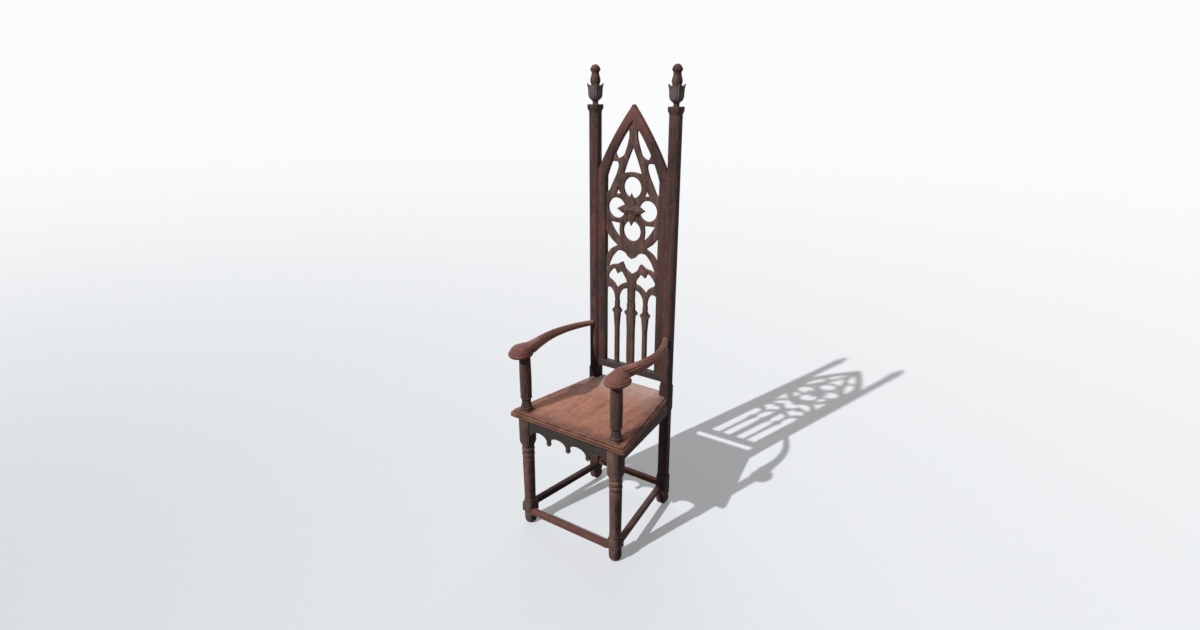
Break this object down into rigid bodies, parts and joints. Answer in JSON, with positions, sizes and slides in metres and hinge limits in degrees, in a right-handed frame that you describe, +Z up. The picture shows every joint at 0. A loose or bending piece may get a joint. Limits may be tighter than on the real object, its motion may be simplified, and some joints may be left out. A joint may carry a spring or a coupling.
{
  "type": "gothic high-back armchair",
  "caption": "High-back wooden Gothic armchair with carved finials, a pointed-arch tracery back, bowed arms with domed hand-holds, a moulded seat, turned front legs and floor stretchers.",
  "frame": {"origin": "on the floor, under the middle of the chair's bounding box", "axes": "+Z up, -Y towards the sitter's front, +X to the right seen from the front"},
  "size_m": [0.4852, 0.4644, 1.6366],
  "materials": {
    "frame_wood": "dark waxed, satin",
    "seat_wood": "worn reddish, satin",
    "arm_wood": "hand-polished reddish, satin",
    "tracery_wood": "dark waxed, satin"
  },
  "bodies": {
    "root": {"rear_post_left": "frame_wood", "rear_post_right": "frame_wood", "post_cap_left": "frame_wood", "post_cap_right": "frame_wood", "finial_left": "frame_wood", "finial_right": "frame_wood", "front_leg_left": "frame_wood", "front_leg_right": "frame_wood", "arm_support_left": "arm_wood", "arm_support_right": "arm_wood", "arm_left": "arm_wood", "arm_right": "arm_wood", "seat_board": "seat_wood", "front_apron": "frame_wood", "side_rail_left": "frame_wood", "side_rail_right": "frame_wood", "rear_rail": "frame_wood", "corner_block_front_left": "frame_wood", "corner_block_front_right": "frame_wood", "corner_block_rear_left": "frame_wood", "corner_block_rear_right": "frame_wood", "front_stretcher": "frame_wood", "rear_stretcher": "frame_wood", "side_stretcher_left": "frame_wood", "side_stretcher_right": "frame_wood", "back_bottom_rail": "frame_wood", "arch_jamb_left": "frame_wood", "arch_jamb_right": "frame_wood", "arch_limb_left": "frame_wood", "arch_limb_right": "frame_wood", "jamb_dowel_upper_left": "frame_wood", "jamb_dowel_upper_right": "frame_wood", "jamb_dowel_lower_left": "frame_wood", "jamb_dowel_lower_right": "frame_wood", "tracery_panel": "tracery_wood", "centre_mullion": "tracery_wood", "side_mullion_left": "tracery_wood", "side_mullion_right": "tracery_wood", "rosette_boss": "tracery_wood"}
  },
  "joints": []
}
